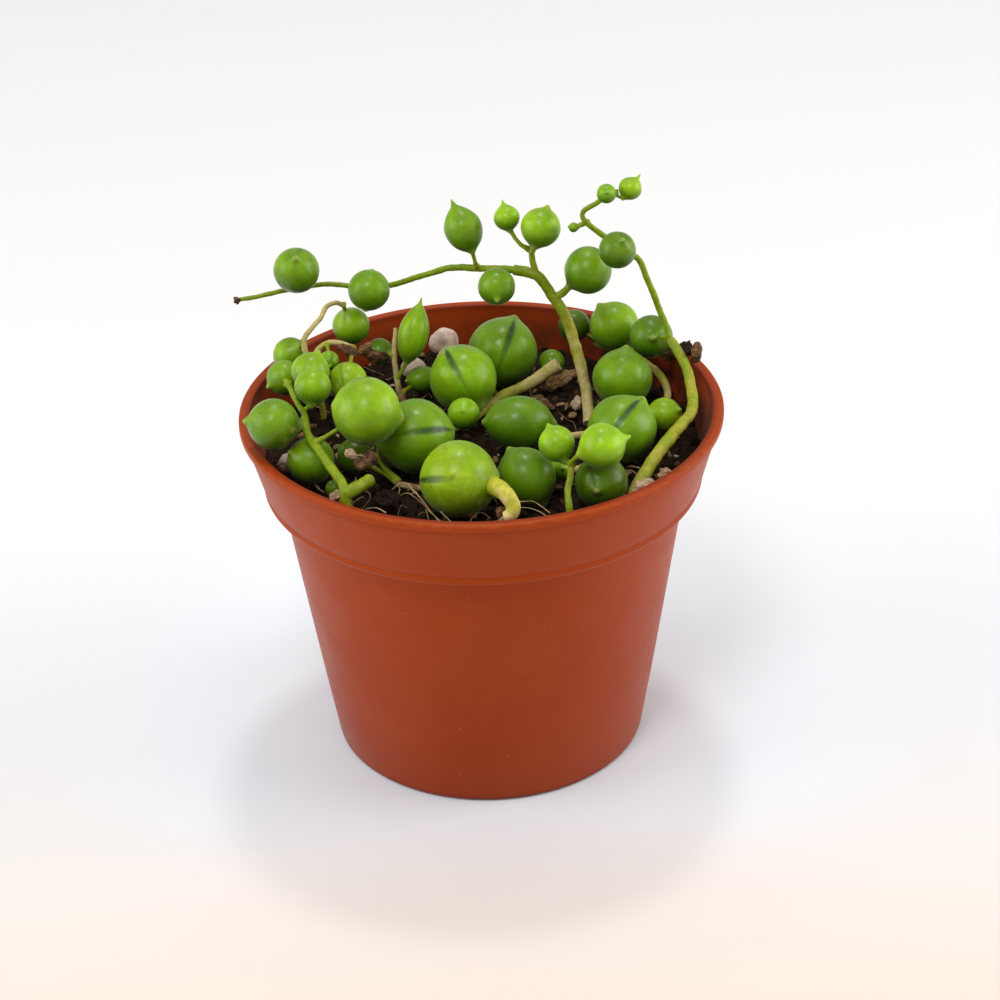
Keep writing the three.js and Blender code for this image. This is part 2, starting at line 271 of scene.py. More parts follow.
def paleFloor():
    material, tree, shader, place = newMaterial("paleFloor")
    depth = axes(tree, place)[1]
    reach = lengthOf(tree, place)
    # painted light: the floor is painted warmer and darker towards the front and paler towards the back, and
    # cooler across the middle, where the pot's shade falls
    plain = blendColour(tree, ramp(tree, depth, -0.10, 0.02), (0.80, 0.675, 0.55, 1), (0.865, 0.88, 0.905, 1))
    plain = blendColour(tree, ramp(tree, depth, 0.02, 0.14), plain, (0.90, 0.885, 0.875, 1))
    plain = blendColour(tree, ramp(tree, depth, 0.12, 0.7), plain, (0.95, 0.938, 0.932, 1))
    # painted shade: the floor beside the pot is painted cooler still, for the shade there
    paintedShadeBeside = times(tree, ramp(tree, reach, 0.062, 0.036), ramp(tree, depth, -0.040, -0.012))
    plain = blendColour(tree, paintedShadeBeside, plain, (0.865, 0.925, 0.975, 1))
    cloud = noiseField(tree, place, 14.0, 3)
    plain = blendColour(tree, times(tree, cloud, 0.06), plain, (0.80, 0.76, 0.74, 1))
    dress(tree, shader, {"Base Color": plain, "Roughness": 0.7})
    return material


def makeFloor():
    half = 3.0
    mesh = bpy.data.meshes.new("floor")
    mesh.from_pydata([(-half, -half, 0), (half, -half, 0), (half, half, 0), (-half, half, 0)], [],
                     [(0, 1, 2, 3)])
    mesh.materials.append(paleFloor())
    floor = bpy.data.objects.new("floor", mesh)
    scene.collection.objects.link(floor)


makeFloor()
print("camera, light and floor ready")


potShape = {
    "lipWidth": 1.35 * mm,
    "lipDrop": 0.95 * mm,
    "undercut": 0.55 * mm,
    "bandHeight": 9.7 * mm,
    "bandFoot": 27.5 * mm,
    "bodyTop": 25.5 * mm,
    "base": 20.0 * mm,
    "wall": 1.2 * mm,
    "floor": 1.6 * mm,
    "segments": 160,
    "holes": 6,
    "holeRadius": 2.2 * mm,
    "holeCircle": 13.5 * mm,
}


def arc(middle, radius, first, last, steps):
    points = []
    for step in range(steps + 1):
        angle = math.radians(first + (last - first) * step / steps)
        points.append((middle[0] + radius * math.cos(angle), middle[1] + radius * math.sin(angle)))
    return points


def potOutline():
    shape = potShape
    foot = potHeight - shape["bandHeight"]
    lipIn = rimRadius - shape["lipWidth"]
    lipLow = potHeight - shape["lipDrop"]
    neck = rimRadius - shape["undercut"]
    outline = [(0, 0), (12 * mm, 0), (17.0 * mm, 0), (17.2 * mm, 0.14 * mm), (17.6 * mm, 0.14 * mm)]
    outline += [(17.8 * mm, 0)]
    outline += arc((shape["base"] - 0.75 * mm, 0.75 * mm), 0.75 * mm, -90, -8, 6)
    for share in (0.25, 0.5, 0.75, 0.96):
        outline.append((shape["base"] + (shape["bodyTop"] - shape["base"]) * share, foot * share))
    # the step under the band, its rounded bead, and the fine groove above the bead
    outline += arc((shape["bodyTop"] + 0.25 * mm, foot - 0.22 * mm), 0.25 * mm, 180, 90, 3)
    outline += arc((shape["bandFoot"] - 0.62 * mm, foot + 0.62 * mm), 0.60 * mm, -88, 10, 8)
    bandLow = foot + 1.30 * mm
    outline += [(shape["bandFoot"] - 0.03 * mm, bandLow - 0.22 * mm),
                (shape["bandFoot"] - 0.08 * mm, bandLow - 0.10 * mm), (shape["bandFoot"], bandLow)]
    bandHigh = lipLow - 0.45 * mm
    for share in (0.12, 0.3, 0.5, 0.7, 0.88, 1.0):
        radius = shape["bandFoot"] + 0.05 * mm + (neck - shape["bandFoot"] - 0.05 * mm) * share
        outline.append((radius, bandLow + (bandHigh - bandLow) * share + 0.1 * mm))
    outline += arc((neck + 0.28 * mm, lipLow - 0.10 * mm), 0.26 * mm, 180, 110, 3)
    outline += arc((rimRadius - 0.24 * mm, lipLow + 0.24 * mm), 0.24 * mm, -70, 0, 3)
    outline += arc((rimRadius - 0.26 * mm, potHeight - 0.26 * mm), 0.26 * mm, 0, 90, 5)
    outline += [(rimRadius - 0.45 * mm, potHeight - 0.07 * mm), (lipIn + 0.42 * mm, potHeight - 0.08 * mm)]
    outline += arc((lipIn + 0.20 * mm, potHeight - 0.22 * mm), 0.20 * mm, 90, 180, 4)
    wallTop = lipLow - 0.6 * mm
    outline += [(lipIn - 0.15 * mm, wallTop)]
    innerShoulder = foot - shape["wall"]
    bodyIn = shape["bodyTop"] - shape["wall"]
    outline += [(bodyIn + 1.9 * mm, innerShoulder + 2.2 * mm), (bodyIn + 1.6 * mm, innerShoulder + 1.2 * mm)]
    outline += [(bodyIn + 0.1 * mm, innerShoulder + 0.3 * mm), (bodyIn - 0.1 * mm, innerShoulder)]
    outline += [(shape["base"] - shape["wall"] + 0.3 * mm, shape["floor"] + 0.6 * mm)]
    outline += [(shape["base"] - shape["wall"] - 0.4 * mm, shape["floor"]), (0, shape["floor"])]
    return outline


def outlineMesh(name, outline):
    mesh = bpy.data.meshes.new(name)
    mesh.from_pydata([(radius, 0, height) for radius, height in outline], [], [])
    return mesh


def turned(tree, socket):
    # turns the input's points, read as radius and height, round the Z axis
    geometry, around, row = wall(tree, socket["Columns"], socket["Rows"])
    sample = add(tree, "GeometryNodeSampleIndex", {"Geometry": socket["Geometry"], "Index": row},
                 data_type="FLOAT_VECTOR")
    plug(tree, field(tree, "Position"), sample.inputs["Value"])
    split = axes(tree, sample.outputs[0])
    angle = times(tree, around, 2 * math.pi)
    x = times(tree, split[0], calc(tree, "COSINE", angle))
    y = times(tree, split[0], calc(tree, "SINE", angle))
    return closed(tree, move(tree, geometry, xyz(tree, x, y, split[2]), "Position"))


def potTree():
    tree, socket = newTree("turnedPot", ("Columns", "Rows", "Holes"), ("Hole Radius", "Hole Circle"))
    shell = turned(tree, socket)
    ring = add(tree, "GeometryNodeMeshCircle", {"Vertices": socket["Holes"], "Radius": socket["Hole Circle"]})
    drill = add(tree, "GeometryNodeMeshCylinder", {"Vertices": 24, "Radius": socket["Hole Radius"],
                                                   "Depth": 0.02})
    drills = add(tree, "GeometryNodeInstanceOnPoints", {"Points": ring.outputs[0],
                                                        "Instance": drill.outputs[0]})
    cut = add(tree, "GeometryNodeMeshBoolean", operation="DIFFERENCE", solver="EXACT")
    plug(tree, shell, cut.inputs["Mesh 1"])
    tree.links.new(add(tree, "GeometryNodeRealizeInstances", {0: drills}).outputs[0], cut.inputs["Mesh 2"])
    endTree(tree, cut.outputs[0], socket["Material"])
    return tree


def potPlastic():
    material, tree, shader, place = newMaterial("potPlastic")
    split = axes(tree, place)
    height = split[2]
    # painted shade: the pot is painted darker towards its base
    low = ramp(tree, height, 0.0, 0.9 * potHeight)
    ground = blendColour(tree, low, (0.275, 0.031, 0.0020, 1), (0.335, 0.042, 0.0025, 1))
    cloud = ramp(tree, noiseField(tree, place, 70, 4, 0.6), 0.3, 0.7)
    ground = blendColour(tree, times(tree, cloud, 0.25), ground, (0.40, 0.072, 0.014, 1))
    # painted shade: a dark line along the bottom edge, where the pot meets the floor
    paintedContactShade = ramp(tree, height, 1.1 * mm, 0.2 * mm, 0.0, 0.6)
    ground = blendColour(tree, paintedContactShade, ground, (0.10, 0.012, 0.002, 1))
    # pale dust specks, and scuffs that gather on the lip
    speck = ramp(tree, noiseField(tree, place, 2300, 1, 0.4), 0.77, 0.81)
    ground = blendColour(tree, times(tree, speck, 0.30), ground, (0.62, 0.36, 0.26, 1))
    nearLip = ramp(tree, height, potHeight - 1.1 * mm, potHeight - 0.1 * mm)
    scuff = ramp(tree, noiseField(tree, place, 900, 6, 0.8), 0.56, 0.70)
    ground = blendColour(tree, times(tree, scuff, nearLip, 0.38), ground, (0.50, 0.19, 0.09, 1))
    reach = lengthOf(tree, xyz(tree, split[0], split[1], 0))
    # painted highlight: a pale line along the lip's outer edge, broken up by noise; painted shade: the lip's
    # inner side is darker
    paintedLipHighlight = times(tree, ramp(tree, reach, rimRadius - 0.50 * mm, rimRadius - 0.22 * mm),
                 ramp(tree, height, potHeight - 0.55 * mm, potHeight - 0.25 * mm))
    paintedLipHighlight = times(tree, paintedLipHighlight, ramp(tree, noiseField(tree, place, 500, 4, 0.7), 0.45, 0.65, 0.02, 0.30))
    ground = blendColour(tree, paintedLipHighlight, ground, (0.50, 0.105, 0.024, 1))
    # painted shade on the lip's inner side
    paintedInnerLipShade = times(tree, ramp(tree, reach, rimRadius - 0.62 * mm, rimRadius - 0.95 * mm), nearLip)
    ground = blendColour(tree, times(tree, paintedInnerLipShade, 0.7), ground, (0.20, 0.020, 0.002, 1))
    # painted shade: the inside wall is painted darker; soil clings to it in patches, most of all on the right
    foot = potHeight - potShape["bandHeight"]
    outer = calc(tree, "MULTIPLY_ADD", calc(tree, "SUBTRACT", height, foot), 0.2, potShape["bandFoot"])
    inside = ramp(tree, calc(tree, "SUBTRACT", reach, outer), -0.4 * mm, -0.8 * mm)
    inside = times(tree, inside, ramp(tree, height, foot + 0.6 * mm, foot + 1.4 * mm))
    stain = ramp(tree, noiseField(tree, place, 240, 5, 0.75), 0.36, 0.62)
    stain = times(tree, stain, ramp(tree, split[0], -0.2 * rimRadius, 0.8 * rimRadius, 0.30, 1.0))
    stain = times(tree, stain, ramp(tree, height, potHeight - 0.6 * mm, potHeight - 3.5 * mm, 0.15, 1.0))
    # painted shade on the inside wall, then the soil stain
    ground = blendColour(tree, times(tree, inside, 0.35), ground, (0.17, 0.020, 0.004, 1))
    ground = blendColour(tree, times(tree, stain, inside), ground, (0.045, 0.020, 0.010, 1))
    dress(tree, shader, {
        "Base Color": ground,
        "Roughness": ramp(tree, noiseField(tree, place, 160, 5, 0.7), 0.2, 0.8, 0.36, 0.50),
        "IOR": 1.49, "Specular IOR Level": 0.13, "Sheen Weight": 0.08, "Sheen Roughness": 0.35,
        "Sheen Tint": (1.0, 0.80, 0.70, 1),
    })
    bump(tree, shader, noiseField(tree, place, 1500, 3, 0.6), 0.10, 0.0001)
    return material


def makePot():
    outline = potOutline()
    piece = grow("potShell", potTree(), {
        "Columns": potShape["segments"], "Rows": len(outline), "Holes": potShape["holes"],
        "Hole Radius": potShape["holeRadius"], "Hole Circle": potShape["holeCircle"],
        "Material": potPlastic(),
    }, outlineMesh("potOutline", outline))
    for face in piece.data.polygons:
        face.use_smooth = True
    piece.data.set_sharp_from_angle(angle=math.radians(40))
    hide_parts("pot")
    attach(piece, "root")


makePot()
print("pot turned")


soilShape = {
    "columns": 132,
    "rings": 46,
    "edge": 27.1 * mm,
    "top": 40.4 * mm,
    "lump": 2.2 * mm,
    "grit": 0.9 * mm,
    "crumbs": 520000,
    "seed": 4,
}


def soilOutline():
    shape = soilShape
    outline = [(0, soilLow.z), (18.6 * mm, soilLow.z), (23.8 * mm, 35.1 * mm), (24.2 * mm, 36.4 * mm)]
    outline += [(26.0 * mm, 37.6 * mm), (shape["edge"], shape["top"] - 0.4 * mm)]
    for ring in range(shape["rings"]):
        outline.append(((shape["edge"] - 0.2 * mm) * (1 - ring / (shape["rings"] - 1)), shape["top"]))
    return outline


def soilTree():
    tree, socket = newTree("soilBed", ("Columns", "Rows", "Seed"), ("Top", "Lump", "Grit", "Crumbs"))
    shell = turned(tree, socket)
    position = field(tree, "Position")
    height = axes(tree, position)[2]
    onTop = ramp(tree, height, calc(tree, "SUBTRACT", socket["Top"], 0.0012), socket["Top"])
    lumps = centred(tree, position, 170, 3, 0.55)
    grit = centred(tree, position, 820, 3, 0.7)
    rise = calc(tree, "ADD", times(tree, lumps, socket["Lump"]), times(tree, grit, socket["Grit"]))
    bed = move(tree, shell, xyz(tree, 0, 0, times(tree, rise, onTop)))
    spots = add(tree, "GeometryNodeDistributePointsOnFaces", {
        "Mesh": bed, "Selection": calc(tree, "GREATER_THAN", onTop, 0.6),
        "Density": socket["Crumbs"], "Seed": socket["Seed"]})
    size = add(tree, "FunctionNodeRandomValue", data_type="FLOAT_VECTOR")
    size.inputs["Min"].default_value = (0.16 * mm, 0.16 * mm, 0.12 * mm)
    size.inputs["Max"].default_value = (0.75 * mm, 0.60 * mm, 0.50 * mm)
    turn = add(tree, "FunctionNodeRandomValue", data_type="FLOAT_VECTOR")
    turn.inputs["Max"].default_value = (6.3, 6.3, 6.3)
    crumb = add(tree, "GeometryNodeMeshIcoSphere", {"Radius": 1.0, "Subdivisions": 2})
    crumbs = add(tree, "GeometryNodeInstanceOnPoints", {
        "Points": spots.outputs[0], "Instance": crumb.outputs[0], "Rotation": turn.outputs[0],
        "Scale": size.outputs[0]})
    tone = add(tree, "FunctionNodeRandomValue", {"Seed": 7}, data_type="FLOAT")
    toned = store(tree, crumbs.outputs[0], "grainTone", tone.outputs[1], domain="INSTANCE")
    loose = add(tree, "GeometryNodeRealizeInstances", {0: toned})
    rough = move(tree, loose, wobble(tree, position, 1500, 2, 0.6, 0.7 * mm))
    both = add(tree, "GeometryNodeJoinGeometry")
    tree.links.new(rough, both.inputs[0])
    tree.links.new(smooth(tree, bed), both.inputs[0])
    endTree(tree, both.outputs[0], socket["Material"])
    return tree


def soilMix():
    material, tree, shader, place = newMaterial("soilMix")
    tone = attribute(tree, "grainTone")
    peat = blendColour(tree, noiseField(tree, place, 260, 5, 0.7), (0.004, 0.0022, 0.0013, 1),
                       (0.036, 0.018, 0.009, 1))
    peat = blendColour(tree, ramp(tree, tone, 0.55, 0.95), peat, (0.070, 0.034, 0.016, 1))
    peat = blendColour(tree, ramp(tree, tone, 0.955, 0.965), peat, (0.30, 0.19, 0.10, 1))
    fleck = ramp(tree, noiseField(tree, place, 1400, 3, 0.7), 0.66, 0.72)
    peat = blendColour(tree, times(tree, fleck, 0.5), peat, (0.18, 0.11, 0.06, 1))
    dress(tree, shader, {"Base Color": peat, "Roughness": 0.95, "Specular IOR Level": 0.15})
    bump(tree, shader, noiseField(tree, place, 2200, 4, 0.7), 0.8, 0.0003)
    return material


def makeSoil():
    outline = soilOutline()
    piece = grow("soilBed", soilTree(), {
        "Columns": soilShape["columns"], "Rows": len(outline), "Top": soilShape["top"],
        "Lump": soilShape["lump"], "Grit": soilShape["grit"], "Crumbs": soilShape["crumbs"],
        "Seed": soilShape["seed"], "Material": soilMix(),
    }, outlineMesh("soilOutline", outline))
    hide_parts("soil")
    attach(piece, "root")
    print("soil:", len(piece.data.polygons), "faces")


makeSoil()


# runs of stem: first and last radius, first and last age (0 fresh, 1 dry), and the route, in mm
stems = {
    "arching": [
        (0.74, 0.66, 0.72, 0.06, [(13.5, 3.5, 41.0), (13.5, 7, 43), (12.9, 9, 45.7), (11.8, 11, 50),
                                  (10.8, 11.5, 52.7), (9.3, 12, 54.9), (7.6, 12.5, 57.5), (4.7, 13.5, 58)]),
        (0.46, 0.28, 0.12, 0.04, [(5.2, 13.3, 58), (0, 15, 57.7), (-3.5, 15.5, 57.5), (-7.2, 16, 56.3),
                                  (-10.7, 16.5, 55.1), (-13.8, 16.5, 54.8), (-19.8, 16.5, 55.3),
                                  (-25.4, 15, 55.1), (-30.4, 14, 54.7)]),
        (0.45, 0.36, 0.25, 0.10, [(7.6, 12.5, 57.4), (7.1, 12.8, 59.3), (6.9, 13, 61)]),
        (0.55, 0.45, 0.35, 0.20, [(9.6, 12, 54.5), (10.8, 12, 55.3), (11.6, 12, 56.2)]),
    ],
    "right": [
        (0.30, 0.42, 0.05, 0.15, [(17.2, 8.5, 70.4), (14.7, 9, 68.5), (13.4, 9.5, 67.2), (13.5, 9.5, 66.1),
                                  (15.4, 9.5, 64.3), (19.9, 9, 61.1), (21.2, 8.5, 58.2), (22.6, 8.5, 54.5),
                                  (24.2, 7, 50)]),
        (0.58, 0.88, 0.28, 0.42, [(24, 7.2, 50.6), (25.7, 4, 48.3), (26.2, 1, 46.5), (25.8, -3, 45.8),
                                  (24.3, -6, 45.4), (22.1, -9.5, 44.9), (20, -13.5, 44.2),
                                  (18.3, -16.8, 43), (17.3, -18.4, 41.3)]),
        (0.34, 0.28, 0.10, 0.10, [(14.0, 9.4, 66.0), (13.2, 9.8, 65.4), (12.5, 10.0, 65.1)]),
    ],
    "left": [
        (0.30, 0.42, 0.00, 0.08, [(-24, -0.5, 50.6), (-22.7, -3.5, 49.4), (-21.5, -6, 48.8),
                                  (-21.2, -8, 48.3)]),
        (0.50, 0.62, 0.05, 0.22, [(-21.4, -7, 48.5), (-21, -10, 48), (-19.6, -13, 47.5), (-18.1, -16, 46.5),
                                  (-16.5, -19, 45.7), (-16.3, -19.9, 44.2), (-15.8, -20, 41.2)]),
        (0.85, 0.75, 0.00, 0.25, [(-16.4, -19.6, 44.9), (-14.8, -18.5, 45.2), (-13.4, -17, 45.3)]),
    ],
    "small_arch": [
        (0.38, 0.28, 0.42, 0.68, [(-20, 7, 41.0), (-20.5, 7.5, 45), (-21.5, 8, 48.5), (-22, 9, 51.1),
                                  (-20.9, 10, 52.4), (-19.8, 11, 53.3), (-19.2, 12, 54.2),
                                  (-18.1, 13, 54.4), (-17.2, 13.5, 53.8)]),
        (0.40, 0.34, 0.50, 0.72, [(-21.5, 8.1, 48.8), (-19.4, 9, 50.6), (-17.4, 9.5, 50.3),
                                  (-15.8, 9.4, 49.7)]),
    ],
    "spindle": [
        (0.42, 0.30, 0.90, 0.60, [(-9.5, 8.5, 41.0), (-10.5, 10, 44), (-10.8, 11.5, 47.5),
                                  (-10.6, 13, 50.6)]),
    ],
    "middle": [
        (0.50, 0.82, 0.30, 0.62, [(-6, 1.5, 41.2), (-1.5, 4.5, 41.4), (2.6, 9, 42.4), (6.6, 10, 43.8),
                                  (10, 10.5, 46)]),
    ],
    "front_low": [
        (0.45, 0.42, 0.65, 0.90, [(12, -8.5, 41.2), (7.5, -9.5, 41.4), (2.5, -10, 41.4), (-1, -11.5, 41.4),
                                  (-6, -12.8, 41.4), (-10.5, -11, 41.3)]),
    ],
    "back": [
        (0.45, 0.50, 0.80, 0.40, [(9.5, -0.5, 41.2), (14, 0.3, 41.4), (18.6, 1, 41.5), (22.8, 4.8, 42),
                                  (23.6, 9.8, 43), (20.8, 15.8, 43.5), (15.2, 21, 43.8)]),
    ],
    "front_stub": [
        (0.70, 1.25, 0.66, 0.22, [(2.2, -23.9, 43.5), (3.0, -23.9, 43.9), (3.3, -23.5, 44.8),
                                  (2.8, -22.8, 45.7), (2.0, -21.7, 46.0), (1.0, -20.2, 45.9),
                                  (-0.4, -18.8, 45.7)]),
    ],
    "front_shoot": [
        (0.42, 0.38, 0.02, 0.33, [(10, -22.5, 41.2), (9.9, -22, 43.5), (9.9, -20.5, 45), (10.2, -19.4, 46.4),
                                  (10.4, -18.8, 47.4)]),
    ],
}

# greens by name: brightness, partly each leaf's own tone and partly painted light and shade for where it
# sits, and warmth from blue-green to yellow
tones = {
    "deep": (0.55, 0.25),
    "dark": (0.80, 0.25),
    "plain": (1.05, 0.30),
    "light": (1.30, 0.40),
    "fresh": (1.42, 0.40),
    "yellow": (1.25, 0.55),
}

# leaves in the order of their numbers: where the stalk leaves its stem (None where the leaf
# sits on it), tone, the side that its window faces, and anything out of the usual
back = (0, 1, 0.3)
leaves = {
    "arching": [
        ((2.4, 14.2, 57.8), "plain", back, {}),
        ((0, 15, 57.8), "plain", back, {"taper": 0.35, "point": 0.9}),
        ((-13.8, 16.5, 54.9), "plain", back, {}),
        ((-22.9, 16, 55.4), "plain", (0.3, 0.5, 0.9), {}),
        ((6.9, 13, 60.8), "fresh", back, {"taper": 0.25, "point": 0.8}),
        ((7, 12.9, 60.8), "fresh", back, {}),
        ((11.4, 12, 56), "plain", (0.2, 0.5, 0.9), {}),
    ],
    "right": [
        ((17.6, 9.3, 62.7), "dark", back, {}),
        ((16, 8.8, 69.5), "plain", back, {}),
        (None, "yellow", back, {"point": 0.9, "taper": 0.3}),
        ((23.9, 7.4, 50.8), "dark", (0.9, 0.1, 0.3), {}),
    ],
    "left": [
        (None, "light", back, {}),
        (None, "light", back, {}),
        (None, "plain", (0.1, 0.4, 0.9), {"flecks": 1.0, "point": 0.6}),
        (None, "plain", (0.1, 0.5, 0.9), {"flecks": 0.3}),
        ((-20, -12.2, 47.7), "light", (0.2, 0.4, 0.9), {"flecks": 0.2, "point": 0.2}),
    ],
    "small_arch": [
        ((-17.2, 13.5, 53.9), "light", back, {}),
        ((-22, 9, 51), "light", back, {}),
        ((-21.5, 8, 48.4), "plain", (0.1, 0.5, 0.9), {}),
        ((-19.2, 9, 50.6), "plain", back, {}),
        ((-16, 9.3, 49.7), "yellow", back, {"taper": 0.2}),
    ],
    "spindle": [
        ((-10.6, 10.4, 44.9), "fresh", (0.6, -0.6, 0.2), {"taper": 0.45, "point": 0.9}),
        ((-10.8, 11.5, 47.4), "dark", back, {}),
        ((-10.2, 9.5, 43), "plain", back, {}),
    ],
    "middle": [
        ((-2, 4.1, 41.4), "light", back, {"window": 0.0, "point": 0.15}),
        ((-1.2, 4.8, 41.5), "light", (-0.1, -0.85, 0.52), {"window": 1.0}),
        ((3.5, 9.3, 42.7), "plain", (0.08, -0.85, 0.52), {"window": 1.0}),
        ((6.6, 10, 43.8), "dark", back, {}),
    ],
    "front_low": [
        ((-10.5, -11, 41.5), "deep", back, {}),
        ((-10.4, -11, 41.5), "plain", (0.1, -0.82, 0.57), {"window": 1.0, "point": 0.12}),
        ((3.6, -9.9, 41.5), "dark", back, {}),
        ((9, -9.2, 41.5), "fresh", back, {}),
        ((12, -8.7, 41.4), "deep", back, {}),
    ],
    "back": [
        ((9.8, -0.6, 41.4), "dark", back, {}),
        ((14.8, 0.4, 41.4), "plain", (0.185, -0.46, 0.87), {"window": 1.0}),
        ((18.8, 1.3, 41.5), "plain", back, {}),
        ((19.5, 1.7, 41.6), "yellow", back, {}),
        ((20.7, 15.9, 43.5), "light", back, {}),
        ((15.5, 20.8, 43.8), "deep", back, {}),
    ],
    "front_stub": [
        ((2.4, -20.8, 44.9), "yellow", (-0.4, -0.8, 0.45),
         {"window": 1.0, "flecks": 0.5, "neck": 0.5, "neckWidth": 0.3, "fade": 0.1, "point": 0.0}),
    ],
    "front_shoot": [
        (None, "fresh", back, {}),
        (None, "fresh", back, {"taper": 0.1, "point": 0.8}),
    ],
}


# the frame's leaf solids: whole length in half lengths, and corner distance in half widths
leafSolid = {"length": 2.22, "corner": 0.975}


def leafFacts(node):
    # a leaf's middle, half width, half length and tip direction, from the two farthest
    # corners of its mesh; the tip is the corner that stands further from its neighbours
    points = [Vector(v.co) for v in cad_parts[node].data.vertices]
    reach, first, second = max(((a - b).length, i, j) for i, a in enumerate(points)
                               for j, b in enumerate(points[:i]))
    ends = [points[first], points[second]]
    lone = [min((p - end).length for p in points if (p - end).length > 1e-6) for end in ends]
    tip, foot = ends if lone[0] > lone[1] else ends[::-1]
    axis = (tip - foot).normalized()
    halfLength = reach / leafSolid["length"]
    centre = foot + axis * halfLength
    halfWidth = max((p - centre - axis * (p - centre).dot(axis)).length for p in points) / leafSolid["corner"]
    return {"centre": centre, "tip": axis, "halfWidth": halfWidth, "halfLength": halfLength}


def twigTree():
    # follows the input's edges with a round stem: its points carry "thick" and "age"
    tree, socket = newTree("twig", ("Sides",), ("Step", "Wander", "Uneven", "Seed"))
    line = add(tree, "GeometryNodeMeshToCurve", {0: socket["Geometry"]})
    line = add(tree, "GeometryNodeCurveSplineType", {0: line}, spline_type="CATMULL_ROM")
    line = add(tree, "GeometryNodeResampleCurve", {0: line}, mode="LENGTH")
    plug(tree, socket["Step"], line.inputs["Length"])
    position = field(tree, "Position")
    shifted = shift(tree, position, xyz(tree, socket["Seed"], 0, 0))
    line = move(tree, line, wobble(tree, shifted, 260, 2, 0.5, socket["Wander"]))
    along = add(tree, "GeometryNodeSplineParameter").outputs["Length"]
    line = store(tree, line, "runLength", along)
    thick = add(tree, "GeometryNodeInputNamedAttribute", {"Name": "thick"}, data_type="FLOAT").outputs[0]
    swell = centred(tree, shifted, 700, 2, 0.6)
    thick = times(tree, thick, calc(tree, "MULTIPLY_ADD", swell, socket["Uneven"], 1.0))
    ring = add(tree, "GeometryNodeCurvePrimitiveCircle", {"Resolution": socket["Sides"], "Radius": 1.0})
    skin = add(tree, "GeometryNodeCurveToMesh", {"Curve": line, "Profile Curve": ring.outputs[0],
                                                 "Scale": thick, "Fill Caps": True})
    normal = field(tree, "Normal")
    knots = centred(tree, shifted, 1700, 3, 0.6)
    press = scaled(tree, normal, times(tree, knots, 0.18 * mm))
    endTree(tree, smooth(tree, move(tree, skin, press)), socket["Material"])
    return tree


def stemSkin(name, tint):
    material, tree, shader, place = newMaterial(name)
    age = attribute(tree, "age")
    patchy = calc(tree, "MULTIPLY_ADD", centred(tree, place, 380, 4, 0.65), 0.9, age)
    fresh = blendColour(tree, noiseField(tree, place, 240, 3), (0.16, 0.26, 0.002, 1), (0.27, 0.36, 0.006, 1))
    skin = blendColour(tree, ramp(tree, patchy, 0.15, 0.45), fresh, (0.38, 0.35, 0.03, 1))
    skin = blendColour(tree, ramp(tree, patchy, 0.42, 0.62), skin, (0.56, 0.44, 0.18, 1))
    skin = blendColour(tree, ramp(tree, patchy, 0.74, 0.98), skin, (0.22, 0.10, 0.045, 1))
    streaks = ramp(tree, noiseField(tree, place, 1500, 4, 0.7), 0.3, 0.7, 0.78 * tint, 1.15 * tint)
    skin = scaled(tree, skin, streaks)
    dress(tree, shader, {
        "Base Color": skin, "Roughness": ramp(tree, age, 0.1, 0.8, 0.42, 0.80), "Specular IOR Level": 0.25,
        "Subsurface Weight": 0.15, "Subsurface Radius": (0.7, 1.0, 0.3), "Subsurface Scale": 0.6 * mm,
    })
    bump(tree, shader, noiseField(tree, place, 2600, 3, 0.6), 0.35, 0.0001)
    return material


twigGroup = twigTree()
stemMaterials = {"usual": stemSkin("stemSkin", 1.0), "pale": stemSkin("paleStemSkin", 1.5)}


def runMesh(name, runs):
    # runs of (points in metres, radii in metres, ages)
    mesh = bpy.data.meshes.new(name)
    points, edges, radii, ages = [], [], [], []
    for route, thicks, old in runs:
        start = len(points)
        points += route
        edges += [(start + i, start + i + 1) for i in range(len(route) - 1)]
        radii += thicks
        ages += old
    mesh.from_pydata(points, edges, [])
    for label, values in (("thick", radii), ("age", ages)):
        mesh.attributes.new(label, "FLOAT", "POINT").data.foreach_set("value", values)
    return mesh


def blendRun(run):
    firstRadius, lastRadius, firstAge, lastAge, route = run
    shares = [i / (len(route) - 1) for i in range(len(route))]
    return ([Vector(p) * mm for p in route],
            [(firstRadius + (lastRadius - firstRadius) * s) * mm for s in shares],
            [firstAge + (lastAge - firstAge) * s for s in shares])


def nearestOn(strand, place):
    best = None
    for run in stems[strand]:
        route = [Vector(p) * mm for p in run[4]]
        for a, b in zip(route, route[1:]):
            share = max(0.0, min(1.0, (place - a).dot(b - a) / (b - a).length_squared))
            spot = a.lerp(b, share)
            if best is None or (spot - place).length < (best - place).length:
                best = spot
    return best


stalkShape = {
    "thin": 0.26 * mm,
    "thinner": 0.2 * mm,
    "smallLeaf": 1.5 * mm,
    "bury": 0.4 * mm,
    "swell": (2.0, 1.0, 1.25, 1.6),
    "ages": [0.30, 0.22, 0.12, 0.05],
}


def stalkRun(strand, facts, start):
    # from the stem to the leaf's stalk end, leaving the stem sideways and meeting the leaf
    # straight; a stalk that comes from the tip's side goes straight in instead
    foot = facts["centre"] - facts["tip"] * facts["halfLength"] * 0.97
    begin = Vector(start) * mm if start else nearestOn(strand, foot)
    inward = (facts["centre"] - begin).normalized()
    if inward.dot(facts["tip"]) < -0.2:
        foot = facts["centre"] - inward * facts["halfWidth"] * 0.9
        bend = begin.lerp(foot, 0.5)
    else:
        bend = begin.lerp(foot, 0.55) - facts["tip"] * (foot - begin).length * 0.18
    thin = stalkShape["thin"] if facts["halfWidth"] > stalkShape["smallLeaf"] else stalkShape["thinner"]
    route = [begin, bend, foot, foot + facts["tip"] * stalkShape["bury"]]
    return route, [part * thin for part in stalkShape["swell"]], stalkShape["ages"]


twigShape = {"Step": 0.35 * mm, "Sides": 12, "Wander": 0.5 * mm, "Uneven": 0.35}


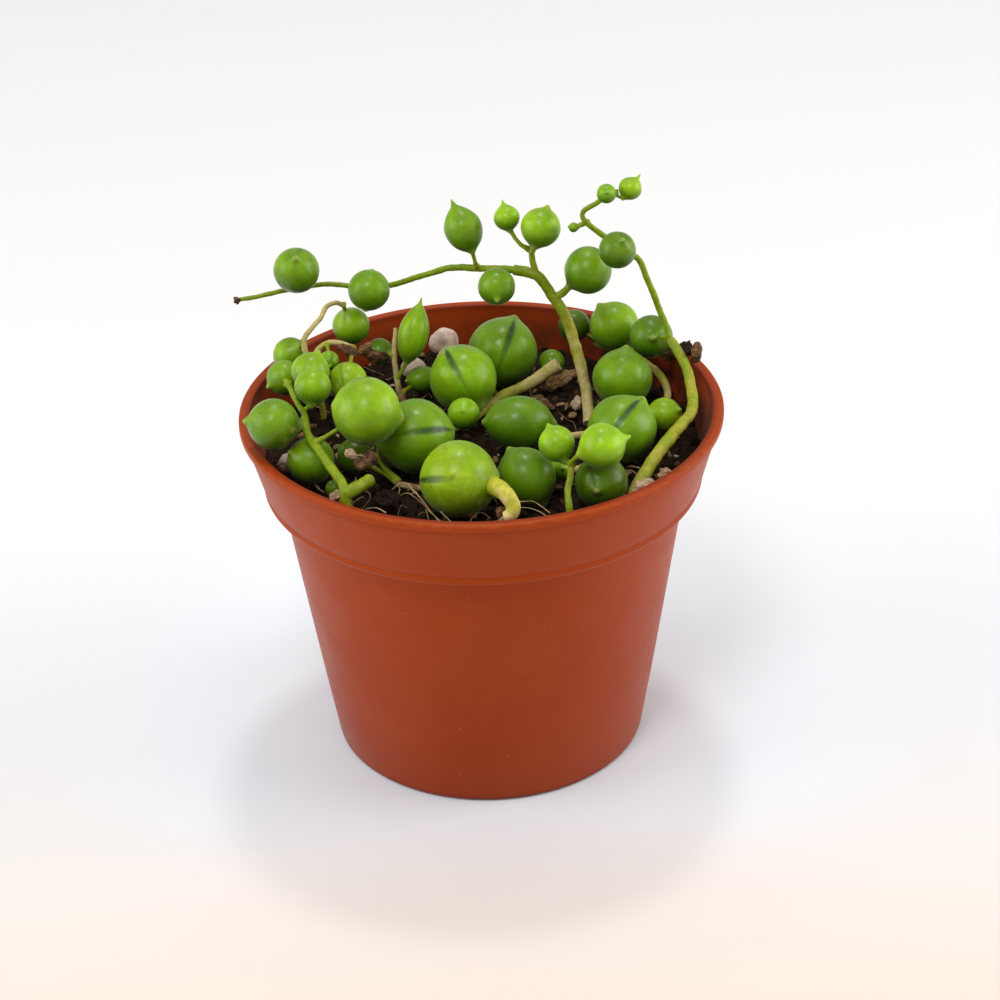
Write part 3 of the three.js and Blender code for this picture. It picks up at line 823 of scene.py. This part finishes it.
def makeTwigs():
    for number, (strand, runs) in enumerate(stems.items()):
        parts = [blendRun(run) for run in runs]
        for index, leaf in enumerate(leaves[strand]):
            facts = leafFacts(f"leaf_{strand}_{index + 1}")
            # the stub's own run already ends inside its leaf
            if strand != "front_stub":
                parts.append(stalkRun(strand, facts, leaf[0]))
        skin = stemMaterials["pale" if strand == "front_stub" else "usual"]
        piece = grow("twig" + strand.title().replace("_", ""), twigGroup,
                     {**twigShape, "Seed": 0.37 * number, "Material": skin}, runMesh(strand + "Runs", parts))
        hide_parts("stem_" + strand)
        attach(piece, "root")


makeTwigs()
print("stems grown:", len(stems))


leafShape = {
    "columns": 44,
    "fineColumns": 110,
    "rows": 34,
    "point": 0.48,
    "neck": 0.55,
    "taper": 0.06,
    "uneven": 0.07,
    "neckWidth": 0.24,
    "fade": 0.5,
    "window": 0.55,
    "flecks": 0.0,
}


def pearlTree():
    # a round leaf with its stalk end and its tip at the poles, and a window along one side
    tree, socket = newTree("pearl", ("Columns", "Rows"), (
        "Half Width", "Half Length", "Point", "Neck", "Neck Width", "Fade", "Taper", "Uneven", "Window",
        "Seed", "Bright", "Warm", "Flecks"), ("Centre", "Tip", "Side"))
    geometry, around, row = wall(tree, socket["Columns"], socket["Rows"])
    share = calc(tree, "DIVIDE", row, calc(tree, "SUBTRACT", socket["Rows"], 1))
    # rows gather towards both poles
    along = calc(tree, "MULTIPLY_ADD", calc(tree, "SINE", times(tree, share, 2 * math.pi)), -0.075, share)
    polar = times(tree, along, math.pi)
    turn = calc(tree, "MULTIPLY_ADD", around, 2 * math.pi, -math.pi)
    height = times(tree, calc(tree, "COSINE", polar), -1)
    late = calc(tree, "MAXIMUM", height, 0)
    slim = calc(tree, "SUBTRACT", 1, times(tree, socket["Taper"], calc(tree, "POWER", late, 2)))
    radius = times(tree, socket["Half Width"], calc(tree, "SINE", polar), slim)

    def peak(distance, width):
        ratio = calc(tree, "DIVIDE", distance, width)
        return calc(tree, "EXPONENT", times(tree, ratio, ratio, -1))

    fromTip = calc(tree, "SUBTRACT", math.pi, polar)
    rise = times(tree, height, socket["Half Length"])
    rise = calc(tree, "ADD", rise, times(tree, socket["Point"], peak(fromTip, 0.17)))
    rise = calc(tree, "SUBTRACT", rise, times(tree, socket["Neck"], peak(polar, socket["Neck Width"])))

    lens = calc(tree, "SINE", times(tree, ramp(tree, fromTip, 0.22, 2.15), math.pi))
    halfWide = times(tree, calc(tree, "POWER", calc(tree, "MAXIMUM", lens, 0.0001), 0.45), 0.098)
    off = times(tree, calc(tree, "ABSOLUTE", turn), calc(tree, "SINE", polar))
    away = calc(tree, "SUBTRACT", off, halfWide)
    pane = times(tree, ramp(tree, away, 0.035, -0.035), socket["Window"])
    pane = times(tree, pane, ramp(tree, fromTip, 2.1, 0.8, socket["Fade"], 1.0))
    radius = times(tree, radius, calc(tree, "MULTIPLY_ADD", pane, -0.022, 1.0))

    x = times(tree, radius, calc(tree, "COSINE", turn))
    y = times(tree, radius, calc(tree, "SINE", turn))
    local = xyz(tree, x, y, rise)
    seeded = shift(tree, local, xyz(tree, socket["Seed"], 0, 0))
    dent = centred(tree, seeded, 190, 1, 0.4)
    local = scaled(tree, local, calc(tree, "MULTIPLY_ADD", dent, socket["Uneven"], 1.0))
    facing = add(tree, "FunctionNodeAxesToRotation", {0: socket["Tip"], 1: socket["Side"]},
                 primary_axis="Z", secondary_axis="X")
    turned = add(tree, "FunctionNodeRotateVector", {"Vector": local, "Rotation": facing})
    placed = shift(tree, turned, socket["Centre"])
    swirl = xyz(tree, calc(tree, "COSINE", turn), calc(tree, "SINE", turn), times(tree, along, 0.35))
    streak = shift(tree, swirl, xyz(tree, socket["Seed"], 0, 0))

    geometry = store(tree, geometry, "along", along)
    geometry = store(tree, geometry, "pane", pane)
    geometry = store(tree, geometry, "streak", streak, kind="FLOAT_VECTOR")
    geometry = closed(tree, move(tree, geometry, placed, "Position"))
    for label, name in (("bright", "Bright"), ("warm", "Warm"), ("flecks", "Flecks")):
        geometry = store(tree, geometry, label, socket[name])
    # how far each point faces up, kept for the leaf's painted light and shade
    facingUp = axes(tree, field(tree, "Normal"))[2]
    geometry = store(tree, geometry, "lift", facingUp)
    endTree(tree, smooth(tree, geometry), socket["Material"])
    return tree


def leafSkin(name, glow, tint):
    material, tree, shader, place = newMaterial(name)
    along, pane = attribute(tree, "along"), attribute(tree, "pane")
    # painted light and shade: the leaf is painted paler and yellower where it faces up and darker where it
    # faces down
    upward = attribute(tree, "lift")
    lift = ramp(tree, upward, -0.75, 0.55)
    warm = calc(tree, "MULTIPLY_ADD", lift, 0.22, calc(tree, "SUBTRACT", attribute(tree, "warm"), 0.13))
    # soft yellow patches
    patch = centred(tree, place, 300, 3, 0.6)
    warm = calc(tree, "MULTIPLY_ADD", patch, 0.55, warm)
    green = blendColour(tree, warm, (0.082, 0.250, 0.002, 1), (0.290, 0.400, 0.003, 1))
    cloud = ramp(tree, noiseField(tree, place, 430, 3, 0.55), 0.25, 0.75, 0.82, 1.18)
    streak = attribute(tree, "streak", "Vector")
    grain = ramp(tree, noiseField(tree, streak, 7.5, 4, 0.6), 0.25, 0.75, 0.95, 1.05)
    speckle = ramp(tree, noiseField(tree, place, 3000, 2, 0.6), 0.56, 0.72, 1.0, 1.16)
    shade = times(tree, cloud, grain, times(tree, speckle, attribute(tree, "bright")))
    # painted light and shade: brighter where the leaf faces up, darker where it faces down
    shade = times(tree, shade, calc(tree, "MULTIPLY_ADD", lift, 0.68, 0.36))
    # painted shade: parts facing straight up are painted darker again
    shade = times(tree, shade, ramp(tree, upward, 0.55, 1.0, 1.0, 0.84))
    green = scaled(tree, green, times(tree, shade, tint))
    foot = ramp(tree, along, 0.17, 0.03)
    green = blendColour(tree, times(tree, foot, 0.55), green, (0.34, 0.40, 0.09, 1))
    tip = ramp(tree, along, 0.945, 0.985)
    green = blendColour(tree, times(tree, tip, 0.6), green, (0.40, 0.42, 0.08, 1))
    green = blendColour(tree, times(tree, ramp(tree, along, 0.988, 0.998), 0.8), green,
                        (0.15, 0.075, 0.02, 1))
    # the window lets light in, so it looks darker and bluer than the rest
    edge = times(tree, ramp(tree, noiseField(tree, place, 1300, 3, 0.6), 0.3, 0.7, 0.75, 1.0), pane)
    green = blendColour(tree, times(tree, edge, 0.95), green, (0.006, 0.030, 0.015, 1))
    fleck = ramp(tree, noiseField(tree, place, 760, 3, 0.6), 0.62, 0.68)
    flecks = attribute(tree, "flecks")
    green = blendColour(tree, times(tree, fleck, flecks, 0.8), green, (0.17, 0.085, 0.02, 1))
    scar = ramp(tree, noiseField(tree, place, 900, 4, 0.7), 0.54, 0.62)
    scar = times(tree, scar, flecks, ramp(tree, along, 0.50, 0.25))
    green = blendColour(tree, times(tree, scar, calc(tree, "SUBTRACT", 1.15, lift)), green,
                        (0.62, 0.52, 0.20, 1))
    dress(tree, shader, {
        "Base Color": green,
        "Roughness": ramp(tree, noiseField(tree, place, 600, 4, 0.6), 0.25, 0.75, 0.24, 0.36),
        "Sheen Weight": 0.09, "Sheen Roughness": 0.40, "Sheen Tint": (0.86, 1.0, 0.90, 1),
        "IOR": 1.42, "Specular IOR Level": 0.42, "Subsurface Weight": glow,
        "Subsurface Radius": (0.55, 1.0, 0.12), "Subsurface Scale": 1.3 * mm,
    })
    bump(tree, shader, noiseField(tree, place, 1500, 3, 0.6), 0.10, 0.0002)
    return material


pearlGroup = pearlTree()
leafMaterials = {"leaf": leafSkin("leafSkin", 0.22, 1.0), "young_leaf": leafSkin("youngLeafSkin", 0.38, 1.1)}
youngLeaves = ("front_shoot_1", "front_shoot_2", "small_arch_4", "middle_1", "right_3", "arching_5",
               "right_2")


def makePearl(name, facts, tone, side, extra, seed, slotName):
    bright, warm = tones[tone]
    shape = {**leafShape, **extra}
    small = min(1, facts["halfWidth"] / (2 * mm))
    piece = grow(name, pearlGroup, {
        "Columns": shape["fineColumns" if shape["window"] >= 1 else "columns"], "Rows": shape["rows"],
        "Centre": facts["centre"], "Tip": facts["tip"], "Side": Vector(side),
        "Half Width": facts["halfWidth"], "Half Length": facts["halfLength"],
        "Point": shape["point"] * mm * small, "Neck": shape["neck"] * mm * small,
        "Neck Width": shape["neckWidth"], "Fade": shape["fade"], "Taper": shape["taper"],
        "Uneven": shape["uneven"], "Window": shape["window"], "Flecks": shape["flecks"],
        "Seed": seed, "Bright": bright, "Warm": warm, "Material": leafMaterials[slotName],
    })
    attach(piece, "root")
    return piece


def makeLeaves():
    count = 0
    for strand, group in leaves.items():
        for index, (_, tone, side, extra) in enumerate(group):
            label = f"{strand}_{index + 1}"
            slotName = "young_leaf" if label in youngLeaves else "leaf"
            facts = leafFacts("leaf_" + label)
            count += 1
            piece = makePearl("pearl" + label.title().replace("_", ""), facts, tone, side, extra,
                              1.7 * count, slotName)
            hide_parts("leaf_" + label)
    print("leaves grown:", count)


makeLeaves()


def radiansOf(turn):
    return Vector([math.radians(angle) for angle in turn])


def lumpTree():
    # a ball of the given size, turned, then pushed in and out by two noises
    tree, socket = newTree("lump", ("Detail",), ("Swell", "Swell Scale", "Pits", "Seed"),
                           ("Centre", "Size", "Turn"))
    ball = add(tree, "GeometryNodeMeshIcoSphere", {"Radius": 0.5, "Subdivisions": socket["Detail"]})
    placed = add(tree, "GeometryNodeTransform", {"Geometry": ball.outputs[0], "Scale": socket["Size"]})
    position = field(tree, "Position")
    seeded = shift(tree, position, xyz(tree, socket["Seed"], 0, 0))
    swell = times(tree, centred(tree, seeded, socket["Swell Scale"], 2), socket["Swell"])
    pits = times(tree, centred(tree, seeded, 1500, 4, 0.65), socket["Pits"])
    push = scaled(tree, field(tree, "Normal"), calc(tree, "ADD", swell, pits))
    rough = move(tree, placed, push)
    turn = add(tree, "FunctionNodeEulerToRotation", {0: socket["Turn"]})
    whole = add(tree, "GeometryNodeTransform", {"Geometry": rough, "Translation": socket["Centre"],
                                                "Rotation": turn})
    endTree(tree, smooth(tree, whole.outputs[0]), socket["Material"])
    return tree


def grainy(name, dark, pale, scale, roughness):
    material, tree, shader, place = newMaterial(name)
    mixed = blendColour(tree, ramp(tree, noiseField(tree, place, scale, 5, 0.7), 0.3, 0.7), dark, pale)
    dust = ramp(tree, noiseField(tree, place, scale * 3.5, 3, 0.7), 0.60, 0.68)
    mixed = blendColour(tree, times(tree, dust, 0.45), mixed, dark)
    dress(tree, shader, {"Base Color": mixed, "Roughness": roughness, "Specular IOR Level": 0.2})
    bump(tree, shader, noiseField(tree, place, scale * 4, 4, 0.7), 0.5, 0.0002)
    return material


lumpGroup = lumpTree()
lumpMaterials = {
    "perlite": grainy("perliteGrain", (0.40, 0.27, 0.21, 1), (0.72, 0.57, 0.48, 1), 520, 0.85),
    "dead_plant": grainy("dryLeaf", (0.016, 0.007, 0.004, 1), (0.27, 0.135, 0.060, 1), 620, 0.85),
}


def makeLump(name, centre, size, turn, slotName, seed, crumple):
    piece = grow(name, lumpGroup, {
        "Detail": 5, "Centre": centre, "Size": size, "Turn": turn, "Swell": crumple * min(size),
        "Swell Scale": (0.9 if slotName == "perlite" else 2.2) / max(size),
        "Pits": 0.25 * mm if slotName == "perlite" else 0.55 * min(size), "Seed": seed,
        "Material": lumpMaterials[slotName],
    })
    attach(piece, "root")
    return piece


def makeLumps():
    lumps = {
        # node: its size in mm and its turn in degrees
        "stone_back": ((4.0, 3.2, 3.6), (0, 5, 20), 0.7),
        "stone_middle": ((3.6, 3.0, 2.4), (0, 0, -30), 0.7),
        "stone_left": ((2.8, 2.0, 2.2), (0, 0, 70), 0.7),
        "dead_leaf_dark": ((3.6, 1.7, 1.4), (0, 12, -10), 1.3),
        "dead_leaf_left": ((2.8, 2.0, 1.5), (0, -20, 40), 1.3),
        "dead_leaf_right": ((3.0, 1.1, 2.4), (0, 25, 70), 1.3),
    }
    for number, (node, (size, turn, crumple)) in enumerate(lumps.items()):
        low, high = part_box(node)
        slotName = "perlite" if node.startswith("stone") else "dead_plant"
        words = node.split("_")
        piece = makeLump(words[0] + "".join(w.title() for w in words[1:]) + "Rough", (low + high) / 2,
                         Vector(size) * mm, radiansOf(turn), slotName,
                         2.3 + number, crumple)
        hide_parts(node)


makeLumps()
print("stones and scraps laid")


litterShape = {"flakes": 230, "seed": 11, "shortest": 0.35, "longest": 2.1, "reach": 26.0, "level": 40.7}

# loose pieces that show between the leaves: middle, size and turn in mm and degrees, and tone
knownLitter = [
    ((10.2, 13.5, 42.2), (5.0, 2.2, 0.9), (10, -14, 30), 0.70),
    ((7.8, 8.0, 41.9), (3.2, 1.4, 0.8), (0, 10, -40), 0.55),
    ((12.2, 7.4, 41.9), (2.6, 1.2, 0.9), (0, 0, 80), 0.92),
    ((-3.2, 21.0, 42.4), (4.6, 2.8, 2.2), (0, 8, 10), 0.95),
    ((-6.6, 15.0, 42.0), (3.6, 2.4, 1.6), (0, 0, 60), 0.90),
    ((0.5, 20.0, 42.0), (3.0, 2.0, 1.4), (10, 0, 0), 0.80),
    ((-7.9, -22.9, 42.3), (2.6, 1.2, 0.8), (0, -10, -10), 0.97),
    ((-3.4, -24.6, 42.9), (1.6, 0.8, 0.5), (0, 0, 20), 0.93),
    ((-17.4, -17.6, 43.6), (1.9, 1.3, 0.9), (20, 0, 50), 0.90),
    ((-16.2, -19.0, 43.4), (1.6, 1.1, 0.7), (0, 30, -20), 0.85),
    ((-15.0, -20.6, 43.0), (1.4, 0.7, 0.5), (0, 0, 10), 0.95),
    ((-13.2, -15.4, 43.4), (1.3, 1.0, 0.8), (0, 0, 0), 0.30),
    ((-11.6, -17.0, 42.4), (3.6, 3.0, 2.2), (0, 0, 40), 0.12),
    ((-15.6, -13.6, 46.9), (1.4, 1.0, 0.8), (0, 40, 0), 0.92),
    ((18.8, -17.5, 43.6), (3.2, 1.4, 1.0), (0, -8, 35), 0.96),
    ((21.6, -14.2, 43.4), (2.2, 1.2, 0.8), (0, 0, 60), 0.88),
    ((26.2, 9.5, 48.2), (2.6, 1.4, 1.2), (30, 0, 60), 0.22),
    ((26.6, 12.6, 46.4), (2.2, 1.6, 1.6), (0, 20, 10), 0.10),
    ((24.6, 14.0, 45.2), (2.8, 1.6, 1.0), (0, -30, 30), 0.45),
]


def scatterTree():
    # a small flake at each point of the input, which carries its size, turn and tone
    tree, socket = newTree("scatter", ("Detail",), ("Crumple",))

    def carried(name):
        return add(tree, "GeometryNodeInputNamedAttribute", {"Name": name},
                   data_type="FLOAT_VECTOR").outputs[0]

    points = add(tree, "GeometryNodeMeshToPoints", {0: socket["Geometry"]})
    flake = add(tree, "GeometryNodeMeshIcoSphere", {"Radius": 0.5, "Subdivisions": socket["Detail"]})
    placed = add(tree, "GeometryNodeInstanceOnPoints", {
        "Points": points.outputs[0], "Instance": flake.outputs[0],
        "Rotation": add(tree, "FunctionNodeEulerToRotation", {0: carried("turn")}),
        "Scale": carried("extent")})
    loose = add(tree, "GeometryNodeRealizeInstances", {0: placed.outputs[0]})
    position = field(tree, "Position")
    rough = move(tree, loose, wobble(tree, position, 1150, 4, 0.75, socket["Crumple"]))
    endTree(tree, rough, socket["Material"])
    return tree


def litterMix():
    material, tree, shader, place = newMaterial("litterMix")
    tone = calc(tree, "MULTIPLY_ADD", centred(tree, place, 700, 3, 0.7), 0.25, attribute(tree, "grainTone"))
    skin = blendColour(tree, ramp(tree, tone, 0.15, 0.45), (0.018, 0.010, 0.006, 1), (0.10, 0.050, 0.024, 1))
    for low, high, colour in ((0.45, 0.62, (0.30, 0.17, 0.075, 1)), (0.68, 0.80, (0.40, 0.21, 0.11, 1)),
                              (0.84, 0.92, (0.64, 0.46, 0.31, 1))):
        skin = blendColour(tree, ramp(tree, tone, low, high), skin, colour)
    dress(tree, shader, {"Base Color": skin, "Roughness": 0.9, "Specular IOR Level": 0.2})
    bump(tree, shader, noiseField(tree, place, 2600, 4, 0.7), 0.5, 0.0002)
    return material


def scatter(name, bits, detail, crumple, material):
    mesh = bpy.data.meshes.new(name + "Points")
    mesh.from_pydata([Vector(place) * mm for place, _, _, _ in bits], [], [])
    for label, values in (("extent", [c * mm for bit in bits for c in bit[1]]),
                          ("turn", [math.radians(c) for bit in bits for c in bit[2]])):
        mesh.attributes.new(label, "FLOAT_VECTOR", "POINT").data.foreach_set("vector", values)
    mesh.attributes.new("grainTone", "FLOAT", "POINT").data.foreach_set("value", [bit[3] for bit in bits])
    piece = grow(name, scatterTree(), {"Detail": detail, "Crumple": crumple, "Material": material}, mesh)
    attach(piece, "root")


def makeLitter():
    draw = random.Random(litterShape["seed"])
    material = litterMix()
    scatter("litterLarge", knownLitter, 4, 2.1 * mm, material)
    bits = []
    for _ in range(litterShape["flakes"]):
        reach, around = litterShape["reach"] * math.sqrt(draw.random()), draw.uniform(0, 2 * math.pi)
        long = draw.uniform(litterShape["shortest"], litterShape["longest"]) * draw.uniform(0.5, 1)
        place = (reach * math.cos(around), reach * math.sin(around),
                 litterShape["level"] + draw.uniform(0, 0.9))
        size = (long, long * draw.uniform(0.25, 0.7), long * draw.uniform(0.15, 0.5))
        turn = (draw.uniform(-25, 25), draw.uniform(-25, 25), draw.uniform(0, 360))
        bits.append((place, size, turn, draw.uniform(0.1, 0.93)))
    scatter("litterFine", bits, 2, 0.8 * mm, material)


# fine roots that show between the leaves
rootHairs = [
    [(-11.2, -13.4, 42.0), (-9.6, -14.6, 43.3), (-8.0, -17.4, 43.6), (-6.6, -20.0, 42.9),
     (-5.4, -22.6, 42.0)],
    [(-10.4, -15.2, 42.0), (-8.9, -16.2, 42.9), (-7.3, -18.9, 43.0), (-5.8, -21.6, 42.4),
     (-4.4, -23.6, 42.2)],
    [(-9.2, -14.0, 42.0), (-7.7, -16.4, 43.8), (-6.1, -19.4, 43.5), (-4.6, -22.0, 42.6),
     (-2.8, -24.2, 42.5)],
    [(3.8, -21.4, 43.4), (5.4, -21.6, 43.5), (7.0, -22.4, 42.9), (8.4, -23.6, 42.2)],
    [(4.0, -20.4, 43.6), (5.8, -20.2, 43.5), (7.6, -21.6, 42.6)],
    [(2.2, -23.4, 42.7), (0.4, -24.4, 43.0), (-1.4, -24.8, 42.9)],
    [(-14.0, -19.6, 43.0), (-12.8, -20.0, 43.3), (-11.6, -20.8, 43.0)],
    [(-13.2, -14.2, 46.2), (-14.2, -15.0, 47.6), (-15.4, -14.4, 47.4)],
]


hairShape = {"count": 70, "seed": 23, "reach": 25.0, "edge": 26, "level": 41.0, "arch": 1.3}
hairTwig = {"Step": 0.4 * mm, "Sides": 6, "Wander": 0.9 * mm, "Uneven": 0.5, "Seed": 5.5}


def makeRootHairs():
    draw = random.Random(hairShape["seed"])
    runs = [([Vector(p) * mm for p in hair], [draw.uniform(0.05, 0.10) * mm for _ in hair],
             [draw.uniform(0.3, 0.7) for _ in hair]) for hair in rootHairs]
    for _ in range(hairShape["count"]):
        reach, around = hairShape["reach"] * math.sqrt(draw.random()), draw.uniform(0, 2 * math.pi)
        heading, long = draw.uniform(0, 2 * math.pi), draw.uniform(1.5, 6.0)
        x, y = reach * math.cos(around), reach * math.sin(around)
        route = []
        for step in (0, 0.33, 0.66, 1):
            rise = hairShape["arch"] * math.sin(math.pi * step) * draw.random()
            route.append(Vector((x, y, hairShape["level"] + rise)) * mm)
            heading += draw.uniform(-0.7, 0.7)
            x, y = x + 0.33 * long * math.cos(heading), y + 0.33 * long * math.sin(heading)
            if math.hypot(x, y) > hairShape["edge"]:
                break
        if len(route) > 1:
            thick, old = draw.uniform(0.04, 0.08) * mm, draw.uniform(0.2, 1.0)
            runs.append((route, [thick] * len(route), [old] * len(route)))
    material, tree, shader, place = newMaterial("rootHair")
    tan = blendColour(tree, attribute(tree, "age"), (0.62, 0.45, 0.20, 1), (0.20, 0.10, 0.05, 1))
    dress(tree, shader, {"Base Color": tan, "Roughness": 0.8})
    piece = grow("rootHairs", twigGroup, {**hairTwig, "Material": material}, runMesh("hairRuns", runs))
    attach(piece, "root")


def makeExtras():
    # small leaves with no solid of their own: middle, tip, half width and tone
    small = [
        ((-17.8, -14.6, 42.9), (-0.3, -0.4, 0.8), 1.15, "deep", "leaf"),
        ((12.1, 10.1, 65.0), (-0.9, 0.1, 0.1), 0.62, "plain", "young_leaf"),
    ]
    for number, (centre, tip, half, tone, slotName) in enumerate(small):
        facts = {"centre": Vector(centre) * mm, "tip": Vector(tip).normalized(), "halfWidth": half * mm,
                 "halfLength": half * mm}
        makePearl(f"smallPearl{number + 1}", facts, tone, back, {}, 90 + number, slotName)
    # dry scraps: middle, size, turn, how crumpled
    scraps = [
        ((-16.4, 8.0, 49.9), (3.0, 1.5, 1.2), (10, 20, -15), 1.5),
        ((-14.4, 7.8, 50.4), (2.2, 0.9, 0.8), (0, -25, 10), 1.6),
        ((-30.5, 13.9, 54.7), (0.9, 0.7, 0.9), (0, 0, 10), 1.1),
        ((1.9, -23.3, 44.0), (1.3, 0.9, 1.4), (0, 25, 20), 1.1),
    ]
    for number, (centre, size, turn, crumple) in enumerate(scraps):
        makeLump(f"dryScrap{number + 1}", Vector(centre) * mm, Vector(size) * mm,
                 radiansOf(turn), "dead_plant", 31.0 + number, crumple)


makeLitter()
makeRootHairs()
makeExtras()
print("litter, root hairs and extras laid")
